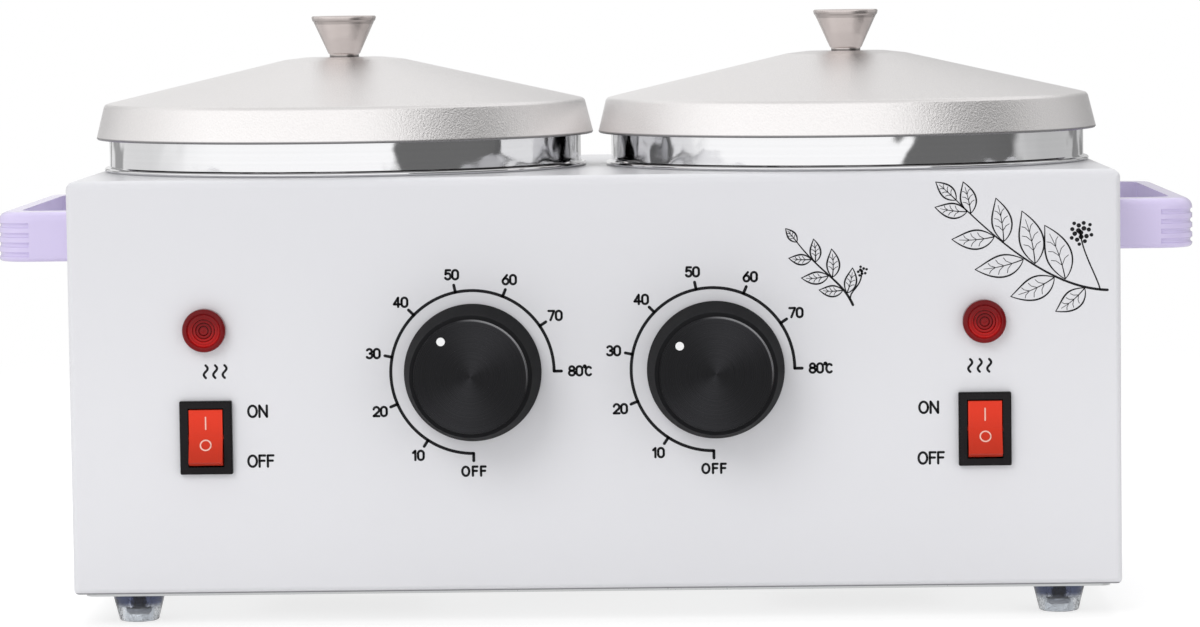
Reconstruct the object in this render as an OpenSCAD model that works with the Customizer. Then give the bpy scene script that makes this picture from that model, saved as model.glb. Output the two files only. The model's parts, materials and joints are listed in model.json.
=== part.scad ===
// Twin wax warmer: a folded steel housing that carries two lidded pots over band heaters.
// X runs along the front, Y from front to back and Z upwards from the feet.

/* [Housing] */
// Distance from a pot's wall to the front or back face
face_gap = 19.5; // [19:0.5:30]
// Distance from a pot's wall to the side of the housing
side_gap = 14; // [13:0.5:30]
// Height of the housing above the base plate
body_h = 118.6; // [116:0.2:140]
// Thickness of the folded steel sheet
sheet_t = 1; // [0.8:0.1:1.4]
// Outside radius of the bends along the top edges
top_bend_r = 2.8; // [2:0.2:5]
// Outside radius of the upright bends
side_bend_r = 1.6; // [1.6:0.2:4]
// Outside radius of the bends along the bottom edges
bottom_bend_r = 1.8; // [1.6:0.2:3]
// Width of the lip folded inwards round the bottom
lip_w = 12; // [10:0.5:12.5]

/* [Base plate and feet] */
// Thickness of the base plate
base_t = 0.8; // [0.6:0.1:1.5]
// Distance from the side of the housing to the edge of the base plate
base_inset = 3; // [2:0.5:4]
// Height of a foot
foot_h = 8.6; // [7.6:0.1:13]
// Radius of a foot where it meets the base plate
foot_top_r = 7.8; // [7:0.1:9]
// Radius of a foot where it meets the table
foot_bottom_r = 5.8; // [5.4:0.1:7]
// Distance from the side of the housing to the centre of a foot
foot_inset_x = 16.8; // [16.5:0.1:24]
// Distance from the front or back face to the centre of a foot
foot_inset_y = 16.5; // [16.5:0.1:24]
// Number of vent slots under each pot
vent_count = 7; // [3:2:9]

/* [Pots and wells] */
// Outside radius of a pot
pot_r = 60.5; // [54:0.5:70]
// Gap between the two lids
lid_gap = 1.6; // [1:0.1:8]
// Depth of a pot from the top of its flange to its underside
pot_depth = 76; // [60:1:80]
// Thickness of the pot's spun wall
pot_wall = 1.2; // [0.8:0.1:1.6]
// Radius of the curve between the pot's wall and its bottom
pot_corner_r = 9; // [5:0.5:14]
// Gap between a pot and its well
pot_gap = 1.5; // [1:0.1:2]
// Thickness of the heated well
well_wall = 1; // [0.8:0.1:1.4]
// Height of the polished collar above the housing
collar_h = 16.3; // [14:0.1:20]
// Width of the collar's top rim, from the pot's wall outwards
rim_w = 10.4; // [9.5:0.1:10.6]
// How far the collar's bottom lip stands out
collar_lip = 1.6; // [1:0.1:1.8]

/* [Lids] */
// Height of the lid's skirt
skirt_h = 10.3; // [8:0.1:12]
// How far the skirt flares from its top to its bottom
skirt_flare = 2.2; // [1:0.1:2.4]
// Rise of the lid from its skirt to its middle
lid_rise = 13.3; // [8:0.1:24]
// Thickness of the lid
lid_wall = 1.2; // [0.8:0.1:1.4]
// Radius of the flat in the middle of the lid
lid_flat_r = 15; // [12:0.5:20]
// Radius of the top of the lid's knob
lid_knob_r = 9.7; // [8:0.1:14]
// Radius of the foot of the lid's knob
lid_knob_foot_r = 4.4; // [4:0.1:7]
// Height of the lid's knob
lid_knob_h = 12.5; // [10:0.1:20]

/* [Dials] */
// Distance from the middle of the housing to the centre of a dial
dial_x = 34.6; // [32:0.1:38]
// Distance from the top of the housing down to the centre of a dial
dial_drop = 55.7; // [54:0.1:66]
// Radius of a dial knob at its base
knob_r = 19.6; // [19:0.1:21]
// Radius of a dial knob at its front
knob_front_r = 17.4; // [17:0.1:18.5]
// How far the front of a dial knob stands off the housing
knob_h = 17; // [15:0.1:22]
// Radius of the thermostat's shaft
shaft_r = 3; // [2.5:0.1:3.2]
// Turn of the left dial from off, as it is set
left_setting = 140.7; // [0:0.1:270]
// Turn of the right dial from off, as it is set
right_setting = 128.2; // [0:0.1:270]

/* [Lamps and switches] */
// Distance from the side of the housing to a lamp and its switch
control_inset = 39; // [34:0.1:42]
// Distance from the top of the housing down to the centre of a lamp
lamp_drop = 42.8; // [40:0.1:46]
// Radius of the lamp's lens
lamp_r = 6.2; // [5.8:0.1:7]
// Distance from the top of the housing down to the centre of a switch
switch_drop = 73.5; // [70:0.1:84]
// Width of the switch's bezel
bezel_w = 15; // [15:0.1:17]
// Height of the switch's bezel
bezel_h = 21; // [21:0.1:23]
// Width of the rocker
rocker_w = 9.6; // [9:0.1:10]
// Height of the rocker
rocker_h = 15; // [14:0.1:15.2]
// Angle that the rocker swings through
rocker_swing = 22; // [16:1:24]

/* [Handles] */
// Length of a handle along the side of the housing
handle_len = 118; // [100:1:130]
// How far a handle stands out from the housing
handle_out = 23.7; // [20:0.1:32]
// Height of a handle's section
handle_h = 14.4; // [13:0.1:20]
// Thickness of the grip
grip_t = 6.3; // [5.6:0.1:9]
// Thickness of the two arms
arm_t = 9; // [8:0.1:12]
// Distance from the top of the housing down to the top of a handle
handle_drop = 9.6; // [8:0.1:20]
// Outside radius of a handle's corners
handle_corner_r = 10; // [7:0.1:14]
// Distance from one grip groove to the next
groove_pitch = 2.8; // [2.4:0.1:3.2]

/* [Cord gland] */
// Radius of the gland's bore
gland_bore_r = 3.6; // [3:0.1:4.5]
// How far the gland stands out of the back
gland_out = 7; // [5:0.5:12]
// Height of the gland's centre above the base plate
gland_rise = 24; // [20:1:40]

/* [Hidden] */
$fn = 96;
eps = 0.01;

// Clearances: threads and clipped parts, screw holes, running shafts, panel cut-outs
thread_gap = 0.05;
hole_gap = 0.2;
run_gap = 0.05;
panel_gap = 0.1;

// Radii and widths worked out from the pots
well_flange_t = 1;
pot_flange_t = 1.2;
collar_t = 1.2;
collar_r = pot_r + rim_w;
pot_flange_r = collar_r - 0.3;
well_r = pot_r + pot_gap;
well_out_r = well_r + well_wall;
well_hole_r = well_out_r + 1.5;
collar_in_r = well_out_r + 0.5;
lid_shoulder_r = collar_r + 1.6;
lid_rim_r = lid_shoulder_r + skirt_flare;
pot_pitch = 2 * lid_rim_r + lid_gap;
body_w = pot_pitch + 2 * (pot_r + side_gap);
body_d = 2 * (pot_r + face_gap);
inside_w = body_w - 2 * sheet_t;

// Where the faces of the housing stand
base_z = foot_h;
body_z = base_z + base_t;
top_z = body_z + body_h;
front_y = (knob_h - body_d - gland_out) / 2;
back_y = front_y + body_d;
mid_y = front_y + body_d / 2;
foot_x = body_w / 2 - foot_inset_x;
foot_dy = body_d / 2 - foot_inset_y;

// Heights of the flanges stacked on the collar, and of the lid over them
collar_top_z = top_z + collar_h;
seat_z = collar_top_z + well_flange_t;
pot_top_z = seat_z + pot_flange_t;
pot_base_z = pot_top_z - pot_depth;
well_floor_z = pot_base_z - 2;
well_base_z = well_floor_z - well_wall;
shoulder_z = pot_top_z + lid_wall + 0.2;
rim_z = shoulder_z - skirt_h;
lid_top_z = shoulder_z + lid_rise;
lid_screw_r = 2;
lid_screw_len = 6.5;
lid_hole_r = lid_screw_r + hole_gap;

// Heater and insulation round the well
band_t = 1.5;
band_bottom_z = well_base_z + 4;
band_h = 38;
band_ear = 9;
wool_t = 4.4;
wool_in_r = well_out_r + band_t + 0.3;
wool_out_r = wool_in_r + wool_t;

// Tie rod that clamps each well, collar and housing together
rod_r = 3;
rod_nut_h = 4;
rod_nut_r = 5.6;
rod_pad_r = 9;
rod_pad_t = 1.5;

// Screws and nuts of the base plate and the feet
foot_screw_r = 2;
foot_head_r = 3.7;
foot_head_h = 2.2;
foot_seat_z = 4.4;
foot_nut_h = 3;
foot_nut_r = 4;
plate_screw_r = 1.5;
plate_head_r = 2.8;
plate_head_h = 1.6;
plate_screw_places = [[-1, -0.45], [1, -0.45], [-1, 0.45], [1, 0.45], [-0.27, 1], [0.27, 1]];

// Dials
dial_z = top_z - dial_drop;
knob_gap = 0.6;
knob_wall = 2.2;
knob_cap_t = 1.1;
knob_rim = 1.1;
shaft_out = 12;
shaft_in = 9;
flat_len = 9;
flat_cut = 1.5;
thermo_w = 26;
thermo_h = 34;
thermo_d = 12.4;
thermo_plate_t = 1;
thermo_boss_r = 11.5;
thermo_screw_dy = 14;
thermo_screw_r = 1.5;
thermo_screw_len = 7;
thermo_head_r = 2.7;
thermo_head_h = 1.6;
thermo_collar_r = shaft_r + 1.9;
pointer_r = 1.2;
pointer_at = 13;
pointer_t = 0.6;
off_angle = -90;

// Lamps and switches stand one above the other
control_x = body_w / 2 - control_inset;
lamp_z = top_z - lamp_drop;
lamp_stem_r = 4.9;
lamp_h = 3.4;
lamp_d = 15;
lamp_floor = 2;
bulb_r = 2;

// Switches
switch_z = top_z - switch_drop;
switch_body_w = 13;
switch_body_h = 19.2;
switch_body_d = 14;
bezel_t = 2;
bezel_corner_r = 0.4;
rocker_gap = 0.3;
rocker_end_out = 3.1;
rocker_dip = 1.4;
pivot_out = 0.5;
pin_r = 0.9;
pin_len = 1;
tab_len = 8;
tab_dy = 6;

// Handles
handle_z = top_z - handle_drop - handle_h;
handle_top_r = 3;
handle_bottom_r = 1.2;
groove_r = 0.75;
groove_depth = 0.6;
opening_corner_r = 6;
handle_screw_r = 1.9;
handle_screw_dy = (handle_len - arm_t) / 2;
handle_screw_z = handle_z + handle_h / 2 - 0.5;

// Cord gland and terminals
gland_z = body_z + gland_rise;
gland_r = gland_bore_r + 2.4;
gland_flange_r = gland_r + 2.2;
block_w = 52;
block_d = 14;
block_h = 14;
way_pitch = 8;
block_y = back_y - 36;
lead_r = 1;
lead_z = body_z + 12;
sensor_r = 2.5;
sensor_len = 50;
sensor_y = mid_y - well_r * 0.355;
sensor_z = well_base_z - sensor_r - 0.2;
capillary_r = 0.8;

// Points along an arc, for the profiles that are revolved
function arc(cx, cy, r, from, to, steps = 8) =
  [for (i = [0:steps]) let (a = from + (to - from) * i / steps) [cx + r * cos(a), cy + r * sin(a)]];

// Rectangle with its own radius at the bottom and at the top corners, from y = 0 upwards
module round_rect(w, h, bottom_r, top_r) {
  translate([-w / 2, bottom_r]) square([w, h - bottom_r - top_r]);
  translate([bottom_r - w / 2, 0]) square([w - 2 * bottom_r, bottom_r + eps]);
  translate([top_r - w / 2, h - top_r - eps]) square([w - 2 * top_r, top_r + eps]);
  for (side = [-1, 1]) {
    translate([side * (w / 2 - bottom_r), bottom_r]) circle(bottom_r);
    translate([side * (w / 2 - top_r), h - top_r]) circle(top_r);
  }
}

// Places something on the front face: its own X is to the right, Y up and Z towards the viewer
module on_front(x, z) {
  translate([x, front_y, z]) rotate([90, 0, 0]) children();
}

// Places something over the centre of a pot
module at_pot(side) {
  translate([side * pot_pitch / 2, mid_y, 0]) children();
}

// Repeats something at the four feet
module at_feet(rows = [-1, 1]) {
  for (side = [-1, 1], row = rows) {
    translate([side * foot_x, mid_y + row * foot_dy, 0]) children();
  }
}

// Repeats something at the screws that hold the base plate to the lip
module at_plate_screws() {
  reach_x = body_w / 2 - base_inset - 4.5;
  reach_y = body_d / 2 - base_inset - 4.5;
  for (place = plate_screw_places) {
    translate([place.x * reach_x, mid_y + place.y * reach_y, 0]) children();
  }
}

module hexagon(r, h) {
  cylinder(r = r, h = h, $fn = 6);
}

module pan_head(r, h) {
  bend_r = h * 0.6;
  rotate_extrude() polygon(concat([[0, 0], [r, 0]], arc(r - bend_r, h - bend_r, bend_r, 0, 90), [[0, h]]));
}

// Three outlines crossed give every bend its true radius
module folded_box(shrink) {
  w = body_w - 2 * shrink;
  d = body_d - 2 * shrink;
  h = body_h - 2 * shrink;
  side_r = side_bend_r - shrink;
  low_r = bottom_bend_r - shrink;
  high_r = top_bend_r - shrink;
  translate([0, mid_y, body_z + shrink]) intersection() {
    translate([0, -d / 2, 0]) linear_extrude(h) round_rect(w, d, side_r, side_r);
    rotate([90, 0, 0]) linear_extrude(d + 2, center = true) round_rect(w, h, low_r, high_r);
    rotate([90, 0, 90]) linear_extrude(w + 2, center = true) round_rect(d, h, low_r, high_r);
  }
}

module housing() {
  color("white") difference() {
    folded_box(0);
    folded_box(sheet_t);
    translate([lip_w - body_w / 2, front_y + lip_w, body_z - 1])
      cube([body_w - 2 * lip_w, body_d - 2 * lip_w, sheet_t + 2]);
    for (side = [-1, 1]) {
      at_pot(side) translate([0, 0, top_z - sheet_t - 2]) cylinder(r = well_hole_r, h = sheet_t + 4);
      on_front(side * control_x, lamp_z) translate([0, 0, -sheet_t - 1])
        cylinder(r = lamp_stem_r + panel_gap, h = sheet_t + 2);
      on_front(side * control_x, switch_z) translate([0, 0, -sheet_t / 2])
        cube([switch_body_w + 2 * panel_gap, switch_body_h + 2 * panel_gap, sheet_t + 2], center = true);
      on_front(side * dial_x, dial_z) {
        translate([0, 0, -sheet_t - 1]) cylinder(r = thermo_collar_r + panel_gap, h = sheet_t + 2);
        for (end = [-1, 1]) {
          translate([0, end * thermo_screw_dy, -sheet_t - 1])
            cylinder(r = thermo_screw_r + hole_gap, h = sheet_t + 2);
        }
      }
      for (end = [-1, 1]) {
        translate([side * body_w / 2, mid_y + end * handle_screw_dy, handle_screw_z])
          rotate([0, 90, 0]) cylinder(r = handle_screw_r + hole_gap, h = 2 * sheet_t + 2, center = true);
      }
    }
    translate([0, back_y, gland_z]) rotate([90, 0, 0])
      cylinder(r = gland_r + panel_gap, h = 2 * sheet_t + 2, center = true);
    at_plate_screws() translate([0, 0, body_z - 1])
      cylinder(r = plate_screw_r + thread_gap, h = sheet_t + 2);
  }
}

// Row of round-ended slots that lets cool air in under a pot
module vents() {
  pitch = 7;
  length = 34;
  slot_r = 1.5;
  for (i = [0:vent_count - 1]) {
    translate([(i - (vent_count - 1) / 2) * pitch, 0, 0]) {
      translate([-slot_r, -length / 2, 0]) cube([2 * slot_r, length, base_t + 2]);
      for (end = [-1, 1]) {
        translate([0, end * length / 2, 0]) cylinder(r = slot_r, h = base_t + 2);
      }
    }
  }
}

module base_plate() {
  w = body_w - 2 * base_inset;
  d = body_d - 2 * base_inset;
  vent_row_dy = 36;
  color("silver") difference() {
    translate([0, mid_y - d / 2, base_z]) linear_extrude(base_t) round_rect(w, d, 3, 3);
    at_feet() translate([0, 0, base_z - 1]) cylinder(r = foot_screw_r + hole_gap, h = base_t + 2);
    at_plate_screws() translate([0, 0, base_z - 1])
      cylinder(r = plate_screw_r + hole_gap, h = base_t + 2);
    for (side = [-1, 1]) {
      at_pot(side) {
        translate([0, 0, base_z - 1]) cylinder(r = rod_r + hole_gap, h = base_t + 2);
        for (row = [-1, 1]) {
          translate([0, row * vent_row_dy, base_z - 1]) vents();
        }
      }
    }
  }
}

module base_screws() {
  color("gray") at_plate_screws() {
    translate([0, 0, base_z]) mirror([0, 0, 1]) pan_head(plate_head_r, plate_head_h);
    translate([0, 0, base_z - eps]) cylinder(r = plate_screw_r, h = base_t + sheet_t + 2);
  }
}

module feet(row) {
  bore_r = foot_bottom_r - 1.6;
  hole_r = foot_screw_r + hole_gap;
  color("lightsteelblue", 0.5) at_feet([row]) rotate_extrude() polygon(concat(
    [[bore_r, 0]],
    arc(foot_bottom_r - 0.8, 0.8, 0.8, -90, -15, 5),
    [[foot_top_r, foot_h], [hole_r, foot_h], [hole_r, foot_seat_z], [bore_r, foot_seat_z]]));
}

module foot_screws() {
  color("dimgray") at_feet() {
    translate([0, 0, foot_seat_z]) mirror([0, 0, 1]) pan_head(foot_head_r, foot_head_h);
    translate([0, 0, foot_seat_z - eps])
      cylinder(r = foot_screw_r, h = body_z + foot_nut_h + 1 - foot_seat_z);
  }
}

module foot_nuts() {
  color("silver") at_feet() translate([0, 0, body_z]) difference() {
    hexagon(foot_nut_r, foot_nut_h);
    translate([0, 0, -1]) cylinder(r = foot_screw_r + thread_gap, h = foot_nut_h + 2);
  }
}

// Outline of the handle seen from its end: x is the distance outwards, y the height
module handle_section(reach, grooved) {
  difference() {
    union() {
      translate([0, handle_bottom_r]) square([reach, handle_h - handle_bottom_r - handle_top_r]);
      square([reach - handle_bottom_r, handle_h - handle_top_r]);
      square([reach - handle_top_r, handle_h]);
      translate([reach - handle_bottom_r, handle_bottom_r]) circle(handle_bottom_r);
      translate([reach - handle_top_r, handle_h - handle_top_r]) circle(handle_top_r);
    }
    if (grooved) {
      for (i = [-1.5:1:1.5]) {
        translate([reach + groove_r - groove_depth, handle_h / 2 - 0.9 + i * groove_pitch])
          circle(groove_r);
      }
    }
  }
}

// Handle on the right-hand side, swept from its section and opened for the fingers
module handle_form() {
  half = handle_len / 2;
  straight = handle_out - handle_corner_r;
  difference() {
    translate([body_w / 2, mid_y, handle_z]) {
      for (end = [-1, 1]) {
        mirror([0, end < 0 ? 1 : 0, 0]) {
          translate([0, half - handle_corner_r, 0]) rotate([90, 0, 90])
            linear_extrude(straight) handle_section(handle_corner_r, false);
          translate([straight, half - handle_corner_r, 0])
            rotate_extrude(angle = 90) handle_section(handle_corner_r, true);
        }
      }
      translate([0, half - handle_corner_r, 0]) rotate([90, 0, 0])
        linear_extrude(handle_len - 2 * handle_corner_r) handle_section(handle_out, true);
    }
    handle_opening(2);
    for (end = [-1, 1]) {
      translate([body_w / 2 - 1, mid_y + end * handle_screw_dy, handle_screw_z])
        rotate([0, 90, 0]) cylinder(r = handle_screw_r + thread_gap, h = 15);
    }
  }
}

// Finger gap through a handle
module handle_opening(past) {
  reach = handle_out - grip_t;
  length = handle_len - 2 * arm_t;
  r = opening_corner_r;
  translate([body_w / 2, mid_y, handle_z - past]) linear_extrude(handle_h + 2 * past) union() {
    translate([-1, r - length / 2]) square([reach + 1, length - 2 * r]);
    translate([-1, -length / 2]) square([reach + 1 - r, length]);
    for (end = [-1, 1]) {
      translate([reach - r, end * (length / 2 - r)]) circle(r);
    }
  }
}

module handle(side) {
  color("lavender") mirror([side < 0 ? 1 : 0, 0, 0]) handle_form();
}

module handle_screws() {
  color("silver") for (side = [-1, 1], end = [-1, 1]) {
    mirror([side < 0 ? 1 : 0, 0, 0])
      translate([inside_w / 2, mid_y + end * handle_screw_dy, handle_screw_z]) rotate([0, 90, 0]) {
        mirror([0, 0, 1]) pan_head(3.6, 2.4);
        translate([0, 0, -eps]) cylinder(r = handle_screw_r, h = sheet_t + 13);
      }
  }
}

module cord_gland() {
  inner_z = -sheet_t - 9;
  flange_t = 2.5;
  flange_bend_r = 1;
  nose_r = gland_bore_r + 1.3;
  color("dimgray") translate([0, back_y, gland_z]) rotate([-90, 0, 0]) rotate_extrude() polygon(concat(
    [[gland_bore_r, inner_z], [gland_r, inner_z], [gland_r, 0], [gland_flange_r, 0]],
    arc(gland_flange_r - flange_bend_r, flange_t - flange_bend_r, flange_bend_r, 0, 90, 4),
    [[gland_r - 0.2, flange_t], [nose_r, gland_out], [gland_bore_r, gland_out]]));
}

module gland_nut() {
  color("dimgray") translate([0, back_y - sheet_t, gland_z]) rotate([90, 0, 0]) difference() {
    hexagon(gland_r + 3, 4);
    translate([0, 0, -1]) cylinder(r = gland_r + thread_gap, h = 6);
  }
}

module collar(side) {
  lip_r = collar_r + collar_lip;
  lip_half = 0.6;
  bend_r = 1.6;
  color("gainsboro") at_pot(side) rotate_extrude() polygon(concat(
    [[collar_r - collar_t, top_z]],
    arc(lip_r - lip_half, top_z + lip_half, lip_half, -90, 90, 8),
    [[collar_r + 0.4, top_z + 2 * lip_half], [collar_r, top_z + 2 * lip_half + 0.4]],
    arc(collar_r - bend_r, collar_top_z - bend_r, bend_r, 0, 90, 6),
    [[collar_in_r, collar_top_z], [collar_in_r, collar_top_z - collar_t],
     [collar_r - collar_t, collar_top_z - collar_t]]));
}

// Deep drawn can with a flange: the pot and the well that heats it share this profile
module can(out_r, wall, corner_r, floor_z, flange_z, flange_r, flange_t) {
  in_r = out_r - wall;
  top = flange_z + flange_t;
  rotate_extrude() polygon(concat(
    [[0, floor_z]],
    arc(out_r - corner_r, floor_z + corner_r, corner_r, -90, 0),
    [[out_r, flange_z], [flange_r, flange_z], [flange_r, top], [in_r + 1, top], [in_r, top - 0.8]],
    arc(out_r - corner_r, floor_z + corner_r, corner_r - wall, 0, -90),
    [[0, floor_z + wall]]));
}

module well(side) {
  color("silver") at_pot(side)
    can(well_out_r, well_wall, pot_corner_r, well_base_z, collar_top_z, collar_r - 1, well_flange_t);
}

module pot(side) {
  color("silver") at_pot(side)
    can(pot_r, pot_wall, pot_corner_r, pot_base_z, seat_z, pot_flange_r, pot_flange_t);
}

// Stud under the well, its washer and the threaded end that the nut pulls down
module tie_rod(side) {
  end_z = base_z - rod_nut_h - rod_pad_t;
  color("silver") at_pot(side) {
    translate([0, 0, end_z]) cylinder(r = rod_r, h = well_base_z - end_z);
    translate([0, 0, well_base_z - rod_pad_t]) cylinder(r = rod_pad_r, h = rod_pad_t);
  }
}

module tie_rod_nuts() {
  color("silver") for (side = [-1, 1]) {
    at_pot(side) translate([0, 0, base_z - rod_nut_h]) difference() {
      union() {
        hexagon(rod_nut_r, rod_nut_h);
        translate([0, 0, rod_nut_h - 0.8]) cylinder(r = 7.5, h = 0.8);
      }
      translate([0, 0, -1]) cylinder(r = rod_r + thread_gap, h = rod_nut_h + 2);
    }
  }
}

// Band heater, split at the back and drawn tight by a screw through its two ears
module heater_band(side) {
  gap = 5;
  ear_t = 1.4;
  ear_h = band_h - 12;
  ear_y = well_out_r + 0.4;
  screw_y = ear_y + band_ear - 3.5;
  screw_r = 1.6;
  color("goldenrod") at_pot(side) translate([0, 0, band_bottom_z]) {
    difference() {
      cylinder(r = well_out_r + band_t, h = band_h);
      translate([0, 0, -1]) cylinder(r = well_out_r + thread_gap, h = band_h + 2);
      translate([-gap / 2, 0, -1]) cube([gap, well_out_r + 10, band_h + 2]);
    }
    for (end = [-1, 1]) {
      translate([end * (gap + ear_t) / 2 - ear_t / 2, ear_y, (band_h - ear_h) / 2])
        cube([ear_t, band_ear, ear_h]);
    }
    translate([-gap, screw_y, band_h / 2]) rotate([0, 90, 0]) cylinder(r = screw_r, h = 2 * gap);
  }
}

module insulation(side) {
  slot = 14;
  color("wheat") at_pot(side) translate([0, 0, band_bottom_z - 2]) difference() {
    cylinder(r = wool_out_r, h = band_h + 4);
    translate([0, 0, -1]) cylinder(r = wool_in_r, h = band_h + 6);
    translate([-slot / 2, 0, -1]) cube([slot, wool_out_r + 5, band_h + 6]);
  }
}

module thermostat(side) {
  color("darkgray") on_front(side * dial_x, dial_z) difference() {
    union() {
      translate([-thermo_w / 2 - 2, -thermo_h / 2 - 2, -sheet_t - thermo_plate_t])
        cube([thermo_w + 4, thermo_h + 4, thermo_plate_t]);
      translate([-thermo_w / 2, -thermo_h / 2, -sheet_t - thermo_d * 0.8])
        cube([thermo_w, thermo_h, thermo_d * 0.8]);
      translate([0, 0, -sheet_t - thermo_d]) cylinder(r = thermo_boss_r, h = thermo_d);
      translate([0, 0, -sheet_t - 1]) cylinder(r = thermo_collar_r, h = sheet_t + 1);
    }
    translate([0, 0, -shaft_in - 0.4]) cylinder(r = shaft_r + run_gap, h = shaft_in + 2);
    for (end = [-1, 1]) {
      translate([0, end * thermo_screw_dy, -sheet_t - thermo_screw_len - 1])
        cylinder(r = thermo_screw_r + thread_gap, h = thermo_screw_len + 2);
    }
  }
}

module thermostat_screws() {
  color("silver") for (side = [-1, 1], end = [-1, 1]) {
    on_front(side * dial_x, dial_z) translate([0, end * thermo_screw_dy, 0]) {
      pan_head(thermo_head_r, thermo_head_h);
      translate([0, 0, -sheet_t - thermo_screw_len])
        cylinder(r = thermo_screw_r, h = sheet_t + thermo_screw_len + eps);
    }
  }
}

// Turns a dial to its setting, with its own X axis at the pointer
module at_setting(side) {
  setting = side < 0 ? left_setting : right_setting;
  on_front(side * dial_x, dial_z) rotate([0, 0, off_angle - setting]) children();
}

// Slab that makes the flat of the shaft, or leaves the flat in the knob's bore
module shaft_flat(depth, from, to) {
  translate([-shaft_r - 1, -shaft_r - 1, from]) cube([depth + 1, 2 * shaft_r + 2, to - from]);
}

module dial_shaft(side) {
  color("silver") at_setting(side) difference() {
    translate([0, 0, -shaft_in]) cylinder(r = shaft_r, h = shaft_in + shaft_out);
    shaft_flat(flat_cut, shaft_out - flat_len, shaft_out + 1);
  }
}

module dial_knob(side) {
  cap_z = knob_h - knob_cap_t;
  front_z = knob_h - 0.5;
  roof_z = cap_z - 2;
  hub_r = shaft_r + 3.2;
  hub_z = knob_gap + 0.6;
  bend_r = 1.2;
  rim_in_r = knob_front_r - knob_rim;
  color("#1a1a1a") at_setting(side) difference() {
    rotate_extrude() polygon(concat(
      [[knob_r - knob_wall, knob_gap], [knob_r - 0.4, knob_gap], [knob_r, knob_gap + 0.4],
       [knob_r, knob_gap + 1.6]],
      arc(knob_front_r - bend_r, front_z - bend_r, bend_r, 10, 90, 5),
      [[rim_in_r, front_z], [rim_in_r, cap_z], [0, cap_z], [0, hub_z], [hub_r, hub_z], [hub_r, roof_z],
       [knob_front_r - knob_wall, roof_z]]));
    difference() {
      translate([0, 0, -1]) cylinder(r = shaft_r + thread_gap, h = shaft_out + 1.3);
      shaft_flat(flat_cut - thread_gap, shaft_out - flat_len + hole_gap, shaft_out + 2);
    }
  }
}

module dial_cap(side) {
  r = knob_front_r - knob_rim - thread_gap;
  cap_z = knob_h - knob_cap_t;
  color("#2b2b2b") at_setting(side) difference() {
    rotate_extrude() polygon([[0, cap_z], [r, cap_z], [r, knob_h - 0.4], [r - 0.4, knob_h], [0, knob_h]]);
    translate([pointer_at, 0, knob_h - pointer_t]) cylinder(r = pointer_r + thread_gap, h = 1);
  }
}

module dial_pointer(side) {
  color("white") at_setting(side) translate([pointer_at, 0, knob_h - pointer_t])
    cylinder(r = pointer_r, h = pointer_t - 0.02);
}

module lamp_lens(side) {
  groove_rings = [3.3, 2.4, 1.5];
  groove_w = 0.35;
  dish_rim_w = 1.7;
  stem = 4;
  color("red", 0.7) on_front(side * control_x, lamp_z) difference() {
    rotate_extrude() polygon(concat(
      [[0, -stem], [lamp_stem_r, -stem], [lamp_stem_r, 0], [lamp_r, 0], [lamp_r, 1.2]],
      arc(lamp_r - 1, lamp_h - 1, 1, 0, 105, 5), [[lamp_r - dish_rim_w, lamp_h - 0.7], [0, lamp_h - 0.4]]));
    translate([0, 0, -stem - 1]) cylinder(r = bulb_r + 1.6, h = stem + 2.4);
    for (ring_r = groove_rings) {
      translate([0, 0, lamp_h - 1]) difference() {
        cylinder(r = ring_r, h = 1);
        translate([0, 0, -1]) cylinder(r = ring_r - groove_w, h = 3);
      }
    }
  }
}

module lamp_body(side) {
  color("#222222") on_front(side * control_x, lamp_z) difference() {
    union() {
      translate([0, 0, -sheet_t - 2]) cylinder(r = lamp_stem_r + 1.8, h = 2);
      translate([0, 0, -lamp_d]) cylinder(r = lamp_stem_r + 0.8, h = lamp_d - sheet_t);
    }
    translate([0, 0, -lamp_d + lamp_floor]) cylinder(r = lamp_stem_r + thread_gap, h = lamp_d);
  }
}

// Neon bulbs that stand in the lamp bodies
module lamp_bulbs() {
  color("orange", 0.6) for (side = [-1, 1]) {
    on_front(side * control_x, lamp_z) translate([0, 0, -lamp_d + lamp_floor]) {
      cylinder(r = bulb_r, h = lamp_d - 3);
      translate([0, 0, lamp_d - 3]) sphere(bulb_r);
    }
  }
}

module switch_frame(side) {
  half_h = rocker_h / 2;
  sweep_r = norm([half_h, rocker_end_out]) + rocker_gap;
  window_w = rocker_w + 2 * rocker_gap;
  socket_w = window_w + 2 * pin_len + 0.2;
  color("#1c1c1c") on_front(side * control_x, switch_z) difference() {
    union() {
      for (step = [0, 0.4]) {
        translate([0, step - bezel_h / 2, 0]) linear_extrude(bezel_t - 0.4 + step)
          round_rect(bezel_w - 2 * step, bezel_h - 2 * step, bezel_corner_r, bezel_corner_r);
      }
      translate([-switch_body_w / 2, -switch_body_h / 2, -switch_body_d])
        cube([switch_body_w, switch_body_h, switch_body_d + eps]);
    }
    translate([-window_w / 2, -sweep_r, -switch_body_d + 2])
      cube([window_w, 2 * sweep_r, switch_body_d + bezel_t]);
    translate([0, 0, pivot_out]) rotate([0, 90, 0])
      cylinder(r = pin_r + run_gap, h = socket_w, center = true);
  }
}

// Rocker on its two trunnions, with a shallow V face and ends that follow its swing
module rocker(side) {
  half_h = rocker_h / 2;
  end_r = norm([half_h, rocker_end_out]);
  back = 2.6;
  color("#c8201c") translate([side * control_x, front_y - pivot_out, switch_z])
    rotate([-rocker_swing / 2, 0, 0]) rotate([90, 0, 90]) {
      linear_extrude(rocker_w, center = true) intersection() {
        circle(end_r);
        polygon([[back, -end_r], [back, end_r], [-rocker_end_out, end_r], [-rocker_end_out, half_h],
          [rocker_dip - rocker_end_out, 0], [-rocker_end_out, -half_h], [-rocker_end_out, -end_r]]);
      }
      cylinder(r = pin_r, h = rocker_w + 2 * (rocker_gap + pin_len), center = true);
    }
}

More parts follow.
